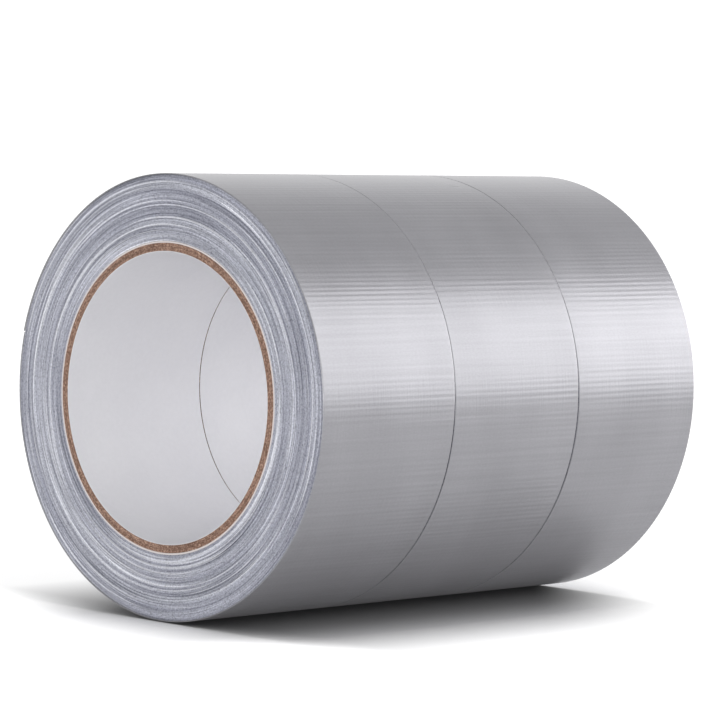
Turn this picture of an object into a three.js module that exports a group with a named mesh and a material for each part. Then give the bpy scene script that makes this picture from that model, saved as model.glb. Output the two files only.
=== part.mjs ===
// Three rolls of silver cloth duct tape standing end to end on one horizontal axis.
// Each roll is a paper core of four plies (white liner, two brown boards, white wrap) carrying
// a wound coil of tape, then the last turn of the strip, whose final length is the free end.
// Millimetres, +Z up. The common axis is Y. The origin is the middle of the middle roll.
import * as THREE from "three";

// Rolls
const ROLL_WIDTH = 48;        // slit width of the tape, and length of the core
const ROLL_GAP = 0.3;         // between neighbouring end faces
const PITCH = ROLL_WIDTH + ROLL_GAP;

// Core
const CORE_BORE_R = 38.1;     // 3 inch core
const LINER_T = 0.15;
const BOARD_T = 1;
const WRAP_T = 0.4;
const GLUE = 0.05;            // glue line between neighbouring plies and turns

// Tape
const TAPE_R = 58.5;          // outside of the wound tape where its free end stops
const TAPE_T = 0.25;          // film, cloth and adhesive together

// Facets and cuts, round the axis
const FACETS = 64;            // facets to a full turn, with one facet flat at the bottom
const STEP = 360 / FACETS;    // degrees
const TAIL_FACETS = 9;        // the free end spans 9 facets, about 52 mm
const CUT = 0.12;             // slit between last turn and free end, degrees either side
const START_TRIM = 0.3;       // taken off the start of the last turn, degrees

// The rolls along the axis. endCorner is the facet corner where the free end stops,
// counted round from the top towards +X.
const ROLLS = [
  { name: "front", y: -PITCH, endCorner: 50 },
  { name: "middle", y: 0, endCorner: 47 },
  { name: "rear", y: PITCH, endCorner: 52 },
];

// Materials: each call makes a new one, so every mesh has its own.
const paint = (settings) => new THREE.MeshStandardMaterial(settings);
const silver = () => paint({ color: 0xb4b4ba, roughness: 0.38, metalness: 0.25 });
const rim = () => paint({ color: 0x9ea3ad, roughness: 0.6, metalness: 0 });
const kraft = () => paint({ color: 0x94644a, roughness: 0.9, metalness: 0 });
const white = () => paint({ color: 0xd2d2d8, roughness: 0.7, metalness: 0 });

// Core plies, from the bore outwards
const PLIES = [
  { part: "core_liner", thickness: LINER_T, material: white },
  { part: "core_inner_board", thickness: BOARD_T, material: kraft },
  { part: "core_outer_board", thickness: BOARD_T, material: kraft },
  { part: "core_wrap", thickness: WRAP_T, material: white },
];

// Corners lie half a step off the top, so that facets lie flat at the top and bottom.
const cornerAngle = (corner) => (corner + 0.5) * STEP;

// A point of the cross-section, its angle in degrees from the top (+Z) towards +X.
// The section is drawn in XY with the top at -Y; turning the whole group brings it to +Z.
function pointAt(radius, degrees) {
  const angle = THREE.MathUtils.degToRad(degrees);
  return new THREE.Vector2(radius * Math.sin(angle), -radius * Math.cos(angle));
}

const circle = (radius) =>
  Array.from({ length: FACETS }, (_, corner) => pointAt(radius, cornerAngle(corner)));

// A closed prism one roll wide, centred on the roll's mid-plane, with an optional hole.
function prism(outline, hole) {
  const shape = new THREE.Shape(outline);
  if (hole) shape.holes.push(new THREE.Path(hole));
  const geometry = new THREE.ExtrudeGeometry(shape, {
    depth: ROLL_WIDTH,
    bevelEnabled: false,
    steps: 1,
  });
  geometry.translate(0, 0, -ROLL_WIDTH / 2);
  return geometry;
}

// Outside radius of the last turn, a number of facets along the strip from its start.
// It grows by one tape thickness over the turn, while the angle runs down from endCorner.
const turnRadius = (facet) => TAPE_R - TAPE_T + (TAPE_T * facet) / FACETS;

// The coil below the last turn: a spiral outside, with a step of one tape thickness.
function coil(endCorner, innerRadius) {
  const outline = [];
  for (let i = 0; i <= FACETS; i++) {
    outline.push(pointAt(turnRadius(i) - TAPE_T - GLUE, cornerAngle(endCorner - i)));
  }
  return prism(outline, circle(innerRadius));
}

// A length of the last turn between two facet counts, each end shortened by its trim in degrees.
function strip(endCorner, { from, to, startTrim, endTrim }) {
  const outer = [];
  const inner = [];
  for (let i = from; i <= to; i++) {
    let angle = cornerAngle(endCorner - i);
    if (i === from) angle -= startTrim;
    if (i === to) angle += endTrim;
    outer.push(pointAt(turnRadius(i), angle));
    inner.push(pointAt(turnRadius(i) - TAPE_T, angle));
  }
  return prism([...outer, ...inner.reverse()]);
}

function makeRoll({ name, y, endCorner }) {
  const roll = new THREE.Group();
  roll.position.z = y; // the roll's own Z becomes +Y when the whole group is turned

  const add = (part, geometry, material) => {
    const mesh = new THREE.Mesh(geometry, material);
    mesh.name = `${name}_${part}`;
    roll.add(mesh);
  };

  // Each layer starts one glue line outside the layer below it.
  let innerRadius = CORE_BORE_R;
  for (const { part, thickness, material } of PLIES) {
    const outerRadius = innerRadius + thickness;
    add(part, prism(circle(outerRadius), circle(innerRadius)), material());
    innerRadius = outerRadius + GLUE;
  }
  add("tape_coil", coil(endCorner, innerRadius), rim());

  const tailStart = FACETS - TAIL_FACETS;
  const lastTurn = { from: 0, to: tailStart, startTrim: START_TRIM, endTrim: CUT };
  const freeEnd = { from: tailStart, to: FACETS, startTrim: CUT, endTrim: 0 };
  add("tape_last_turn", strip(endCorner, lastTurn), silver());
  add("tape_free_end", strip(endCorner, freeEnd), silver());
  return roll;
}

const tape = new THREE.Group();
tape.rotation.x = -Math.PI / 2; // the rolls' axis onto +Y
for (const roll of ROLLS) tape.add(makeRoll(roll));

export default tape;
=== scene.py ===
# Three rolls of silver cloth duct tape in a row, each with a peelable free end.
# The rolls share one axis along Y through the origin, +Z is up and the front roll is at -Y.
# Sizes and mesh code are in millimetres; Blender, the floor, lights and camera are in metres.
import bmesh
import bpy
import math
import numpy as np
from mathutils import Matrix, Vector


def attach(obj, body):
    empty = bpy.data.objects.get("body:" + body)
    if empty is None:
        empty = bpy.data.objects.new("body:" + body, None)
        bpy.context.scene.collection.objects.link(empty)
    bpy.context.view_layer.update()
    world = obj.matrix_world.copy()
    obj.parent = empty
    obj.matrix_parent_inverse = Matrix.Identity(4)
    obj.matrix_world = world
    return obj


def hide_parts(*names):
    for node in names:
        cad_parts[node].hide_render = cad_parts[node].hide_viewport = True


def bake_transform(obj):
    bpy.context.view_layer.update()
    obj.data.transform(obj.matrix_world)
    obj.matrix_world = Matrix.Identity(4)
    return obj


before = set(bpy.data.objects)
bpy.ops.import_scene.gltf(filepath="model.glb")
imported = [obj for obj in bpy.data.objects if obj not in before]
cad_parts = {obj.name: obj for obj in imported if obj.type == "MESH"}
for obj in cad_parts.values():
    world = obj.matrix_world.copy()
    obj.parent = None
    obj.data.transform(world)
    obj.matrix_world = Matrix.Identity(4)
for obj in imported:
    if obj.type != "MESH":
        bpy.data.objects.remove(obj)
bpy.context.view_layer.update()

# ---------------------------------------------------------------- sizes, mm
WIDTH = 48.0
PITCH = 48.3            # from one roll to the next along Y
BORE = 38.1             # radius of the hole
PLY_GAP = 0.03          # between neighbouring core plies
COIL_IN = 40.86
TAPE_R = 58.5
TAPE_T = 0.25
TURNS = 70              # ridges on each end face of the coil
COIL_TOP = TAPE_R - 2 * TAPE_T - 0.02
WEFT_PITCH = 1.38       # between the threads that run across the tape

# The frame's tape outline has 64 corners; lengths of tape are counted in its facets.
CORNERS = 64
FACET = 360.0 / CORNERS  # degrees
TAIL = 9                 # facets in the free end

PLY_SEGMENTS = 256
COIL_SEGMENTS = 200
STRIP_STEP = 0.25        # degrees between rows of the strip

# name, y of the middle, corner where the tape ends
ROLLS = (("front", -PITCH, 50), ("middle", 0.0, 47), ("rear", PITCH, 52))

# Core plies from the bore outwards:
# object, frame part, thickness, material, slot, bevel, inset of each end, fuzz of the ends, seed
PLIES = (
    ("liner", "core_liner", 0.16, "liner", "white_paper", 0.03, 0.03, 0.01, 20),
    ("board_inner", "core_inner_board", 1.02, "board", "brown_board", 0.05, 0.06, 0.05, 30),
    ("board_outer", "core_outer_board", 1.02, "board", "brown_board", 0.05, 0.07, 0.05, 40),
    ("wrap", "core_wrap", 0.43, "wrap", "white_paper", 0.05, 0.03, 0.02, 50),
)

# Stations across the strip, -1 at the front edge and 1 at the rear, crowded at both edges
ACROSS = np.concatenate([[-1.0, -0.9965, -0.9925, -0.986],
                         np.linspace(-1, 1, 13)[1:-1],
                         [0.991, 0.9968, 1.0]])


# ---------------------------------------------------------------- shader tree
class Tree:
    """Adds nodes to one shader tree; most calls return an output socket."""

    def __init__(self, node_tree):
        self.nodes = node_tree.nodes
        self.links = node_tree.links

    def add(self, kind, **settings):
        node = self.nodes.new("ShaderNode" + kind)
        for key, value in settings.items():
            setattr(node, key, value)
        return node

    def feed(self, socket, value):
        """Link the socket if value is a socket, otherwise set it."""
        if isinstance(value, bpy.types.NodeSocket):
            self.links.new(value, socket)
        else:
            socket.default_value = value

    def math(self, operation, *values):
        node = self.add("Math", operation=operation)
        for socket, value in zip(node.inputs, values):
            self.feed(socket, value)
        return node.outputs[0]

    def times(self, value, factor):
        return self.math("MULTIPLY", value, factor)

    def plus(self, value, other):
        return self.math("ADD", value, other)

    def vector_math(self, operation, *values):
        node = self.add("VectorMath", operation=operation)
        for socket, value in zip(node.inputs, values):
            self.feed(socket, value)
        return node.outputs["Value"]

    def combine(self, *values):
        node = self.add("CombineXYZ")
        for socket, value in zip(node.inputs, values):
            self.feed(socket, value)
        return node.outputs[0]

    def separate(self, vector):
        node = self.add("SeparateXYZ")
        self.feed(node.inputs[0], vector)
        return node.outputs[0], node.outputs[1], node.outputs[2]

    def attribute(self, name):
        return self.separate(self.add("Attribute", attribute_name=name).outputs["Vector"])

    def map_range(self, value, source, target=(0.0, 1.0), smooth=False):
        """Map the source (from, to) pair onto the target pair."""
        node = self.add("MapRange")
        if smooth:
            node.interpolation_type = "SMOOTHSTEP"
        for key, number in zip(("From Min", "From Max", "To Min", "To Max"), source + target):
            node.inputs[key].default_value = number
        self.feed(node.inputs["Value"], value)
        return node.outputs[0]

    def noise(self, *axes, detail=3, roughness=0.5):
        """Each axis is a value or (socket, frequency) or (socket, frequency, offset)."""
        values = []
        for axis in axes:
            if isinstance(axis, tuple):
                value = self.times(axis[0], axis[1])
                if len(axis) == 3:
                    value = self.plus(value, axis[2])
                axis = value
            values.append(axis)
        vector = self.combine(*values)
        node = self.add("TexNoise")
        for key, value in (("Scale", 1.0), ("Detail", detail), ("Roughness", roughness),
                           ("Vector", vector)):
            self.feed(node.inputs[key], value)
        return node.outputs["Fac"]

    def ramp(self, factor, *stops):
        """Each stop is (position, colour)."""
        node = self.add("ValToRGB")
        elements = node.color_ramp.elements
        while len(elements) < len(stops):
            elements.new(0.5)
        for element, (place, color) in zip(elements, stops):
            element.position = place
            element.color = (*color, 1)
        self.feed(node.inputs["Fac"], factor)
        return node.outputs["Color"]

    def mix(self, mode, first, *others):
        """Mix each of the others in turn, at full strength, into the first colour."""
        for other in others:
            node = self.add("Mix", data_type="RGBA", blend_type=mode)
            for index, value in ((0, 1.0), (6, first), (7, other)):
                self.feed(node.inputs[index], value)
            first = node.outputs[2]
        return first

    def darken_rim(self, color, place, source, darkest):
        """Darken the colour as place runs over the source pair."""
        rim = self.map_range(place, source, (1.0, darkest))
        return self.mix("MULTIPLY", color, self.combine(rim, rim, rim))

    def bump(self, bsdf, height, strength, distance):
        node = self.add("Bump")
        for key, value in (("Strength", strength), ("Distance", distance), ("Height", height)):
            self.feed(node.inputs[key], value)
        self.feed(bsdf.inputs["Normal"], node.outputs["Normal"])


# ---------------------------------------------------------------- materials
# Two mesh attributes drive the textures:
# roll_pos    rest position in mm, which has no seam round the roll
# roll_coord  radius in mm; mm along the strip, or degrees round a lathed ring;
#             y in mm from the middle of the roll
# Noise frequencies are per unit of these.
def grey(tone):
    return (tone, tone, tone)


def principled(name, roughness, color, metallic=0.0):
    """A material with plain values, its tree and its shader; textures may replace the values."""
    material = bpy.data.materials.new(name)
    material.use_nodes = True
    bsdf = material.node_tree.nodes["Principled BSDF"]
    bsdf.inputs["Base Color"].default_value = (*color, 1)
    bsdf.inputs["Roughness"].default_value = roughness
    bsdf.inputs["Metallic"].default_value = metallic
    return material, Tree(material.node_tree), bsdf


def film_material(seed):
    """Silver film: slow clouds of tone, cross threads showing through, grain and scuffs."""
    material, tree, bsdf = principled("silver_film_%d" % seed, roughness=0.30,
                                      color=(0.42, 0.42, 0.435), metallic=0.45)
    _, along, y = tree.attribute("roll_coord")
    cloud = tree.noise((along, 0.022), (y, 0.045), seed, detail=2)
    thread = tree.noise((along, 0.85), (y, 0.012), seed, detail=2)
    grain = tree.noise((along, 2.6), (y, 1.1), seed)
    warp = tree.noise((along, 0.05), (y, 1.3), seed)
    color = tree.mix(
        "MULTIPLY",
        tree.ramp(cloud, (0.3, (0.385, 0.381, 0.408)), (0.7, (0.425, 0.421, 0.450))),
        tree.ramp(thread, (0.35, grey(0.93)), (0.65, grey(1.0))),
        tree.ramp(grain, (0.35, grey(0.94)), (0.65, grey(1.0))))
    # painted shade: the tape is darkened along its rear edge, for the shade in the joint where it
    # meets the next roll
    color = tree.darken_rim(color, y, source=(23.80, 23.93), darkest=0.72)
    tree.feed(bsdf.inputs["Base Color"], color)
    varied = tree.plus(tree.times(thread, 0.05), tree.times(cloud, 0.08))
    tree.feed(bsdf.inputs["Roughness"], tree.plus(varied, 0.235))
    scuff = tree.noise((along, 0.16), (y, 0.9), seed + 20, detail=4, roughness=0.7)
    # relief weights
    height = tree.plus(tree.plus(tree.times(thread, 0.9), tree.times(warp, 0.5)),
                       tree.plus(tree.times(grain, 0.12), tree.times(scuff, 0.5)))
    tree.bump(bsdf, height, strength=0.20, distance=0.0002)
    return material


def adhesive_material(seed):
    """The sticky side: pale grey, with the cloth's open weave showing through."""
    material, tree, bsdf = principled("adhesive_%d" % seed, roughness=0.42,
                                      color=(0.50, 0.50, 0.51))
    _, along, y = tree.attribute("roll_coord")

    def threads(place, pitch, sharpness=6.0):
        wave = tree.math("SINE", tree.times(place, math.pi / pitch))
        return tree.math("POWER", tree.math("ABSOLUTE", wave), sharpness)
    warp = threads(y, pitch=1.15)
    weft = threads(along, pitch=WEFT_PITCH)
    weave = tree.math("MAXIMUM", warp, weft)
    blot = tree.noise((along, 0.25), (y, 0.25), seed)
    color = tree.mix(
        "MULTIPLY",
        tree.ramp(weave, (0.2, (0.44, 0.44, 0.45)), (0.9, (0.60, 0.60, 0.60))),
        tree.ramp(blot, (0.35, (0.90, 0.90, 0.91)), (0.65, grey(1.0))))
    tree.feed(bsdf.inputs["Base Color"], color)
    height = tree.plus(tree.times(weave, 0.8), tree.times(blot, 0.3))
    tree.bump(bsdf, height, strength=0.35, distance=0.0002)
    return material


def edge_material(seed):
    """The coil's end faces: bands and fine lines round the roll, pale lines and specks."""
    material, tree, bsdf = principled("tape_edges_%d" % seed, roughness=0.62,
                                      color=(0.37, 0.40, 0.46))
    radius = tree.attribute("roll_coord")[0]
    x, _, z = tree.attribute("roll_pos")
    band = tree.noise((radius, 0.62, seed), (x, 0.010), (z, 0.010), detail=2)
    line = tree.noise((radius, 2.3, seed), (x, 0.022), (z, 0.022), roughness=0.65)
    pale = tree.noise((radius, 1.5, seed + 31), (x, 0.016), (z, 0.016), detail=2)
    speck = tree.noise((x, 2.0), (z, 2.0), (radius, 2.6), roughness=0.7)
    pepper = tree.noise((x, 1.25), (z, 1.25), (radius, 2.0, 50), detail=2, roughness=0.6)
    band_color = tree.ramp(band, (0.30, (0.328, 0.336, 0.402)), (0.50, (0.394, 0.402, 0.468)),
                           (0.72, (0.505, 0.515, 0.578)))
    line_color = tree.ramp(line, (0.30, (0.38, 0.39, 0.42)), (0.48, grey(1.0)),
                           (0.70, (1.55, 1.55, 1.52)))
    speck_color = tree.ramp(speck, (0.33, (0.62, 0.62, 0.64)), (0.5, grey(1.0)),
                            (0.68, (1.25, 1.25, 1.23)))
    pale_color = tree.ramp(pale, (0.57, grey(0.0)), (0.62, (0.30, 0.30, 0.295)))
    pepper_color = tree.ramp(pepper, (0.34, (0.70, 0.70, 0.71)), (0.46, grey(1.0)))
    color = tree.mix("MULTIPLY", band_color, line_color, speck_color, pepper_color)
    color = tree.mix("ADD", color, pale_color)
    # the outermost turns are darker
    color = tree.darken_rim(color, radius, source=(57.3, 58.3), darkest=0.62)
    tree.feed(bsdf.inputs["Base Color"], color)
    tree.bump(bsdf, tree.plus(line, tree.times(speck, 0.8)), strength=0.5, distance=0.00025)
    return material


def board_material(seed):
    """Brown board: coarse flecks over faint layers."""
    material, tree, bsdf = principled("brown_board_%d" % seed, roughness=0.88,
                                      color=(0.28, 0.17, 0.12))
    radius, _, y = tree.attribute("roll_coord")
    x, _, z = tree.attribute("roll_pos")
    fleck = tree.noise((x, 1.5), (z, 1.5),
                       tree.plus(tree.times(radius, 1.8), tree.times(y, 0.8)),
                       detail=4, roughness=0.7)
    layer = tree.noise((radius, 3.2), (x, 0.05), (z, 0.05), detail=2)
    color = tree.mix(
        "MULTIPLY",
        tree.ramp(fleck, (0.33, (0.135, 0.070, 0.048)), (0.5, (0.300, 0.178, 0.130)),
                  (0.67, (0.62, 0.42, 0.32))),
        tree.ramp(layer, (0.35, (0.72, 0.70, 0.68)), (0.6, grey(1.08))))
    tree.feed(bsdf.inputs["Base Color"], color)
    tree.bump(bsdf, fleck, strength=0.6, distance=0.0003)
    return material


def paper_material(name, tone):
    """Paper of one tone, with faint fibres and clouds."""
    material, tree, bsdf = principled(name, roughness=0.55, color=tone)
    x, y, z = tree.attribute("roll_pos")
    fibre = tree.noise((x, 0.8), (y, 0.8), (z, 0.8), detail=4, roughness=0.6)
    cloud = tree.noise((x, 0.05), (y, 0.05), (z, 0.05), detail=2)
    dark = tuple(0.975 * channel for channel in tone)
    color = tree.mix(
        "MULTIPLY",
        tree.ramp(fibre, (0.35, dark), (0.65, tone)),
        tree.ramp(cloud, (0.35, (0.97, 0.97, 0.975)), (0.65, grey(1.0))))
    tree.feed(bsdf.inputs["Base Color"], color)
    tree.bump(bsdf, fibre, strength=0.10, distance=0.0001)
    return material


# ---------------------------------------------------------------- meshes
def make(name, points, coords, quads, materials, second_faces=None):
    """A closed mesh. second_faces flags the faces that take the second material."""
    mesh = bpy.data.meshes.new(name)
    mesh.from_pydata((points / 1000.0).tolist(), [], quads.tolist())
    mesh.update()
    for key, values in (("roll_coord", coords), ("roll_pos", points)):
        attribute = mesh.attributes.new(key, "FLOAT_VECTOR", "POINT")
        attribute.data.foreach_set("vector", values.astype(np.float32).ravel())
    for material in materials:
        mesh.materials.append(material)
    if len(materials) > 1:
        mesh.polygons.foreach_set("material_index", second_faces.astype(np.int32))
    for polygon in mesh.polygons:
        polygon.use_smooth = True
    mesh.set_sharp_from_angle(angle=math.radians(38))
    item = bpy.data.objects.new(name, mesh)
    bpy.context.collection.objects.link(item)
    face_outwards(mesh)
    return item


def face_outwards(mesh):
    work = bmesh.new()
    work.from_mesh(mesh)
    bmesh.ops.recalc_face_normals(work, faces=work.faces)
    work.to_mesh(mesh)
    work.free()
    mesh.update()


def ring_angles(segments):
    return np.arange(segments) * 360.0 / segments


def lathe(name, profile, y0, segments, materials, second_spans=()):
    """A closed ring. profile is a loop of (radius, y, radius shift, y shift).

    A shift is one number or one per segment. second_spans lists the profile points
    whose span to the next one takes the second material.
    """
    count = len(profile)
    angles = ring_angles(segments)
    radians = np.radians(angles)
    points = np.zeros((segments, count, 3))
    coords = np.zeros((segments, count, 3))
    for i, (base_radius, base_y, radius_shift, y_shift) in enumerate(profile):
        radius = base_radius + radius_shift
        y = base_y + y_shift
        points[:, i, 0] = radius * np.sin(radians)
        points[:, i, 1] = y + y0
        points[:, i, 2] = radius * np.cos(radians)
        coords[:, i, 0] = radius
        coords[:, i, 1] = angles
        coords[:, i, 2] = y
    here = np.arange(segments * count).reshape(segments, count)
    beside = np.roll(here, -1, 1)
    quads = np.stack([here, beside, np.roll(beside, -1, 0), np.roll(here, -1, 0)], -1)
    second = np.zeros((segments, count), bool)
    second[:, list(second_spans)] = True
    return make(name, points.reshape(-1, 3), coords.reshape(-1, 3), quads.reshape(-1, 4),
                materials, second.ravel())


def ply(name, inner, outer, y0, material, bevel, inset, fuzz, seed):
    """A core ply: bevelled corners, both end faces slightly fibrous."""
    rng = np.random.default_rng(seed)
    half = WIDTH / 2 - inset
    wall = half - bevel
    radii = [inner + bevel + (outer - inner - 2 * bevel) * t for t in (0.0, 0.33, 0.66, 1.0)]
    outline = [(inner, -half + bevel + (2 * half - 2 * bevel) * t) for t in (0.0, 0.25, 0.5, 0.75)]
    outline += [(inner, wall)]
    outline += [(radius, half) for radius in radii]
    outline += [(outer, wall), (outer, -wall)]
    outline += [(radius, -half) for radius in reversed(radii)]
    profile = []
    for radius, y in outline:
        # every point draws noise, but only the end faces use it
        rough = rng.normal(0, 1, PLY_SEGMENTS)
        rough = (rough + np.roll(rough, 1) + np.roll(rough, -1)) / 3
        on_end = abs(y) == half
        profile.append((radius, y, 0.0, -np.sign(y) * np.abs(rough) * fuzz if on_end else 0.0))
    return lathe(name, profile, y0, PLY_SEGMENTS, [material])


def coil(name, y0, end_corner, edges, film, seed):
    """The wound coil: each turn's cut edge is a low ridge on both end faces, set in or out."""
    rng = np.random.default_rng(seed)
    radii = np.linspace(COIL_IN, COIL_TOP, TURNS + 1)
    half = WIDTH / 2 - 0.04
    wall = half - 0.35
    # (share of the turn's thickness, depth): the groove, then the crest
    ridge = ((0.05, 0.075), (0.62, 0.0))

    def draw_insets():
        walk = np.cumsum(rng.normal(0, 0.035, TURNS))
        walk -= np.convolve(walk, np.ones(15) / 15, "same")
        jump = np.where(rng.random(TURNS) < 0.12, rng.uniform(-0.13, 0.0, TURNS), 0.0)
        return np.clip(0.09 + walk * 0.9 - jump, 0.0, 0.30)

    def draw_wave():
        """(phase, an idle draw that holds the sequence, waves per turn, depth)"""
        return rng.random(), rng.random(), int(rng.integers(1, 4)), rng.uniform(0.01, 0.045)
    insets = {side: draw_insets() for side in (1, -1)}
    waves = {side: [draw_wave() for _ in range(TURNS)] for side in (1, -1)}

    # the strip climbs one thickness in a turn, and steps back at its tip
    turned = ring_angles(COIL_SEGMENTS) / 360.0
    tip = (end_corner + 0.5) * FACET / 360.0
    climb = ((tip - turned) % 1.0) * TAPE_T

    def end_face(side):
        """Ridges from the innermost turn outwards; side is 1 at the rear, -1 at the front."""
        face = []
        for turn in range(TURNS):
            phase, _, lobes, depth = waves[side][turn]
            wave = depth * np.sin(2 * math.pi * (lobes * turned + phase))
            sunk = -side * np.clip(insets[side][turn] + wave, 0.0, 0.4)
            rise = climb * ((turn + 1) / TURNS) ** 3
            for share, groove in ridge:
                radius = radii[turn] + share * (radii[turn + 1] - radii[turn])
                face.append((radius, side * (half - groove), rise, sunk))
        return face
    profile = [(COIL_IN, wall, 0.0, 0.0)] + end_face(1)
    outside = len(profile)
    profile += [(COIL_TOP, wall, climb, 0.0), (COIL_TOP, -wall, climb, 0.0)]
    profile += end_face(-1)[::-1] + [(COIL_IN, -wall, 0.0, 0.0)]
    return lathe(name, profile, y0, COIL_SEGMENTS, [edges, film], [outside])


def strip_relief(along, across):
    """Height in mm of the strip's outer face: ribs across it, ripples along it, low edges."""
    rng = np.random.default_rng(1234)
    phase = [rng.random() for _ in range(8)]
    sin = np.sin
    # ribs one weft apart, drifting a little along the strip
    ribs = sin(2 * math.pi * (along / WEFT_PITCH + 0.35 * sin(along / 23.0 + phase[0])
                              + 0.17 * sin(along / 4.7 + phase[1] * 6)
                              + 0.05 * sin(across * 2 + along / 9)))
    # their size comes and goes along and across the strip
    size = 0.75 + 0.25 * sin(along / 17.0 + 1.3 * sin(across * 1.7 + phase[1] * 6) + phase[2] * 6)
    size = size * (0.80 + 0.20 * sin(across * 2.3 + along / 41.0 + phase[3] * 6))
    ripple = (sin(across * 9 + 0.7 * sin(along / 31.0 + phase[4] * 6))
              * (0.5 + 0.5 * sin(along / 26.0 + phase[5] * 6)))
    edge = (np.where(across > 0.999, -0.05, 0.0) + np.where(across < -0.999, -0.14, 0.0)
            + np.where((across < -0.995) & (across > -0.999), -0.035, 0.0))
    # sideways wander of the whole strip, from its first column
    line = along[:, 0]
    wander = 0.05 * sin(line / 37.0 + phase[6] * 6) + 0.03 * sin(line / 11.0 + phase[7] * 6)
    return 0.016 * ribs * size + 0.010 * ripple, edge, wander


def strip(name, y0, end_corner, start, stop, film, adhesive):
    """A length of the last turn, between two angles in degrees back from its tip."""
    rows = int((stop - start) / STRIP_STEP)
    back = np.linspace(start, stop, rows + 1)
    radians = np.radians((end_corner + 0.5) * FACET - back)
    along, across = np.meshgrid(back * math.pi / 180 * TAPE_R, ACROSS, indexing="ij")
    lift, edge, wander = strip_relief(along, across)
    base = (TAPE_R - TAPE_T + TAPE_T * back / 360)[:, None]
    outer = base - 0.015 + lift + edge
    inner = base - TAPE_T + 0.01 + np.zeros_like(across)
    half = WIDTH / 2 - 0.02
    y = across * (half - 0.05) + wander[:, None] * 0.5
    # neighbouring rolls almost touch over the top and stand a little open below
    t = np.clip((np.cos(radians) + 0.10) / 0.45, 0.0, 1.0)
    lean = (0.20 * t * t * (3 - 2 * t) - 0.05)[:, None]
    texture_y = y - np.maximum(lean, 0.0)
    y = y + lean * across

    def layer(radius):
        return np.stack([radius * np.sin(radians)[:, None], y + y0,
                         radius * np.cos(radians)[:, None]], -1)

    def layer_coords(radius):
        return np.stack([radius, along, texture_y], -1)
    # each row is a loop: the outer face front to rear, then the inner face back again
    points = np.concatenate([layer(outer), layer(inner)[:, ::-1]], 1)
    coords = np.concatenate([layer_coords(outer), layer_coords(inner)[:, ::-1]], 1)
    loop = points.shape[1]
    index = np.arange((rows + 1) * loop).reshape(rows + 1, loop)
    beside = np.roll(index, -1, 1)
    quads = np.stack([index[:-1], index[1:], beside[1:], beside[:-1]], -1).reshape(-1, 4)
    caps = []
    for row, order in ((index[0], 1), (index[-1], -1)):
        for j in range(loop // 2 - 1):
            caps.append([row[j], row[j + 1], row[-2 - j], row[-1 - j]][::order])
    sticky = np.zeros((rows, loop), bool)
    sticky[:, loop // 2:loop - 1] = True
    second = np.concatenate([sticky.ravel(), np.zeros(len(caps), bool)])
    return make(name, points.reshape(-1, 3), coords.reshape(-1, 3),
                np.concatenate([quads, np.array(caps)]), [film, adhesive], second)


def build_roll(number, roll, y0, end_corner):
    body = roll + "_roll"
    film = film_material(3 + 7 * number)
    adhesive = adhesive_material(13 + number)
    edges = edge_material(11 + 5 * number)
    core = {
        "board": board_material(2 + number),
        "liner": paper_material(roll + "_liner_paper", tone=(0.84, 0.835, 0.86)),
        "wrap": paper_material(roll + "_wrap_paper", tone=(0.80, 0.74, 0.73)),
    }

    def put(item, part):
        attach(item, body)
        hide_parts(roll + "_" + part)

    inner = BORE
    for label, part, thickness, material, slot, bevel, inset, fuzz, seed in PLIES:
        outer = round(inner + thickness, 2)
        put(ply(roll + "_" + label, inner, outer, y0, core[material],
                bevel, inset, fuzz, seed + number), part)
        inner = round(outer + PLY_GAP, 2)
    put(coil(roll + "_coil", y0, end_corner, edges, film, 60 + number), "tape_coil")

    # the last turn and the free end stop a hair short of each other
    joint_angle = (CORNERS - TAIL) * FACET
    gap = 0.02
    put(strip(roll + "_last_turn", y0, end_corner, 0.3, joint_angle - gap, film, adhesive),
        "tape_last_turn")
    tail = strip(roll + "_free_end_strip", y0, end_corner, joint_angle + gap, 360.0,
                 film, adhesive)
    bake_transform(tail)
    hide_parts(roll + "_tape_free_end")


for number, (roll, y0, end_corner) in enumerate(ROLLS):
    build_roll(number, roll, y0, end_corner)

# ---------------------------------------------------------------- floor and sky, m
# The camera sees them as a white sweep; bounced light sees them a good deal darker.
WHITE = 1.2             # strength of the white that the camera sees
BOUNCE_TONE = 0.50      # floor tone for bounced light
FLOOR_Z = -(TAPE_R + 0.1) / 1000
FLOOR_HALF = 6.0


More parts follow.
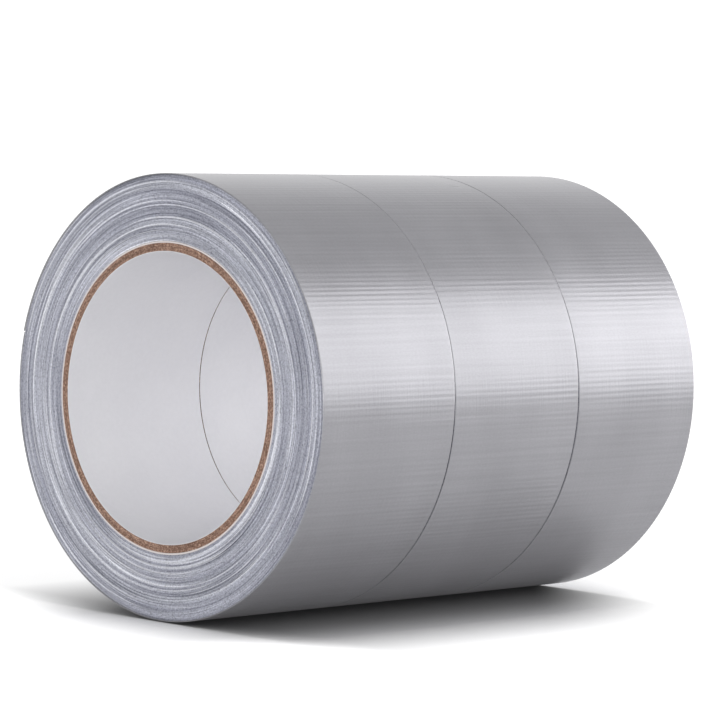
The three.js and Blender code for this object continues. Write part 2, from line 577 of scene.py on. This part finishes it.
def floor_material():
    material = bpy.data.materials.new("floor")
    material.use_nodes = True
    tree = Tree(material.node_tree)
    tree.nodes.remove(tree.nodes["Principled BSDF"])
    camera_ray = tree.add("LightPath").outputs["Is Camera Ray"]
    position = tree.add("NewGeometry").outputs["Position"]
    x, y, _ = tree.separate(position)
    # painted light: the camera sees the floor lighter in front of the row, which paints a clean
    # front edge on the shadow there
    front = tree.map_range(y, (-0.057, -0.075), (0.36, 0.82), smooth=True)
    # painted light: the camera sees the floor lighter towards +X, which paints the shadow paler
    # there
    beside = tree.map_range(x, (0.026, 0.054), (1.0, 1.75), smooth=True)
    # painted shade: the camera sees the floor darker close under the rolls, scaled by an occlusion
    # measure
    near = tree.add("AmbientOcclusion", samples=8)
    near.inputs["Distance"].default_value = 0.04
    openness = near.outputs["AO"]
    painted_contact_shade = tree.plus(tree.times(openness, 0.62), 0.38)
    painted_floor_light = tree.times(tree.plus(front, BOUNCE_TONE), beside)
    seen = tree.math("SUBTRACT", tree.times(painted_floor_light, painted_contact_shade), BOUNCE_TONE)
    tone = tree.plus(tree.times(camera_ray, seen), BOUNCE_TONE)
    diffuse = tree.add("BsdfDiffuse")
    tree.feed(diffuse.inputs["Color"], tree.combine(tone, tone, tone))

    # painted light: for rays other than the camera's the floor glows faintly, lighting the
    # undersides of the rolls, and the glow is painted dimmer close under them
    painted_floor_glow = tree.add("Emission")
    painted_glow_strength = tree.plus(tree.times(openness, 0.13), 0.04)
    unseen = tree.math("SUBTRACT", 1.0, camera_ray)
    tree.feed(painted_floor_glow.inputs["Strength"], tree.times(painted_glow_strength, unseen))
    lit = tree.add("AddShader")
    tree.feed(lit.inputs[0], diffuse.outputs[0])
    tree.feed(lit.inputs[1], painted_floor_glow.outputs[0])

    # fades to white away from the origin; painted light: it fades sooner towards the camera's
    # right, which cuts the shadow short there
    fade = tree.map_range(tree.vector_math("LENGTH", position), (0.16, 0.45), smooth=True)
    across = tree.vector_math("DOT_PRODUCT", position, (0.713, 0.701, 0.0))
    painted_shadow_cut = tree.map_range(across, (0.050, 0.105), smooth=True)
    faded = tree.math("MAXIMUM", fade, painted_shadow_cut)
    white = tree.add("Emission")
    white.inputs["Strength"].default_value = WHITE
    sweep = tree.add("MixShader")
    tree.feed(sweep.inputs[0], tree.times(faded, camera_ray))
    tree.feed(sweep.inputs[1], lit.outputs[0])
    tree.feed(sweep.inputs[2], white.outputs[0])
    tree.feed(tree.nodes["Material Output"].inputs["Surface"], sweep.outputs[0])
    return material


def build_floor():
    material = floor_material()
    mesh = bpy.data.meshes.new("floor")
    corners = [(x * FLOOR_HALF, y * FLOOR_HALF, FLOOR_Z)
               for x, y in ((-1, -1), (1, -1), (1, 1), (-1, 1))]
    mesh.from_pydata(corners, [], [(0, 1, 2, 3)])
    item = bpy.data.objects.new("floor", mesh)
    mesh.materials.append(material)
    bpy.context.collection.objects.link(item)
    return item


def build_world():
    world = bpy.data.worlds.new("white")
    bpy.context.scene.world = world
    world.use_nodes = True
    tree = Tree(world.node_tree)
    background = tree.nodes["Background"]
    background.inputs["Color"].default_value = (1, 1, 1, 1)
    camera_ray = tree.add("LightPath").outputs["Is Camera Ray"]
    # the low sky behind the rolls is brighter, and shows along their tops
    direction = tree.add("TexCoord").outputs["Generated"]
    facing = tree.vector_math("DOT_PRODUCT", direction, (-0.698, 0.716, 0.0))
    behind = tree.map_range(facing, (0.66, 1.0), (0.45, 1.20), smooth=True)
    strength = tree.math("MAXIMUM", tree.times(camera_ray, WHITE), behind)
    tree.feed(background.inputs["Strength"], strength)


floor = build_floor()
build_world()


# ---------------------------------------------------------------- lights, m and W
def area(name, size, size_y, power):
    light = bpy.data.lights.new(name, "AREA")
    light.shape = "RECTANGLE"
    light.size = size
    light.size_y = size_y
    light.energy = power
    item = bpy.data.objects.new(name, light)
    item.rotation_mode = "QUATERNION"
    item.visible_camera = False
    bpy.context.collection.objects.link(item)
    return item


def aimed_area(name, direction, distance, **settings):
    """An area light out along direction, facing the origin."""
    item = area(name, **settings)
    outward = Vector(direction).normalized()
    item.location = outward * distance
    item.rotation_quaternion = (-outward).to_track_quat("-Z", "Y")
    return item


def placed(x_axis, y_axis, z_axis, location):
    matrix = Matrix((x_axis, y_axis, z_axis)).transposed().to_4x4()
    matrix.translation = location
    return matrix


def receivers(name):
    """A light-linking collection that holds the floor."""
    collection = bpy.data.collections.new(name)
    collection.objects.link(floor)
    return collection


# the side box runs parallel to the rolls, so the band it leaves on them has straight edges
side = area("side_softbox", size=1.2, size_y=0.70, power=5.2)
side.matrix_world = placed((0, 1, 0), (-0.433, 0, 0.901), (0.901, 0, 0.433),
                           location=(0.597, 0.784, 0.315))
front = aimed_area("front_softbox", (0.60, -1.0, 0.07), 1.3, size=0.8, size_y=0.24, power=6.6)
rear = aimed_area("rear_softbox", (0.20, 1.0, 0.12), 0.9, size=0.5, size_y=0.5, power=4.7)
# this one lights only the floor, and gives the rolls their soft shadow towards the camera
key = aimed_area("floor_light", (-0.28, 0.105, 0.95), 1.2, size=0.36, size_y=1.6, power=14.5)

key.light_linking.receiver_collection = receivers("only_floor")
no_floor = receivers("no_floor")
for member in no_floor.collection_objects:
    member.light_linking.link_state = "EXCLUDE"
for softbox in (side, front, rear):
    softbox.light_linking.receiver_collection = no_floor

# ---------------------------------------------------------------- camera
camera_data = bpy.data.cameras.new("camera")
camera_data.sensor_width = 36
camera_data.lens = 192.435
camera_data.clip_start = 0.05
camera_data.clip_end = 50
camera = bpy.data.objects.new("camera", camera_data)
bpy.context.collection.objects.link(camera)
camera.matrix_world = placed((0.712924, 0.700728, 0.026809),
                             (-0.064905, 0.027871, 0.997502),
                             (0.698231, -0.712884, 0.065351),
                             location=(0.7339, -0.7495, 0.0766))
scene = bpy.context.scene
scene.camera = camera
scene.view_settings.view_transform = "Standard"
scene.view_settings.look = "None"
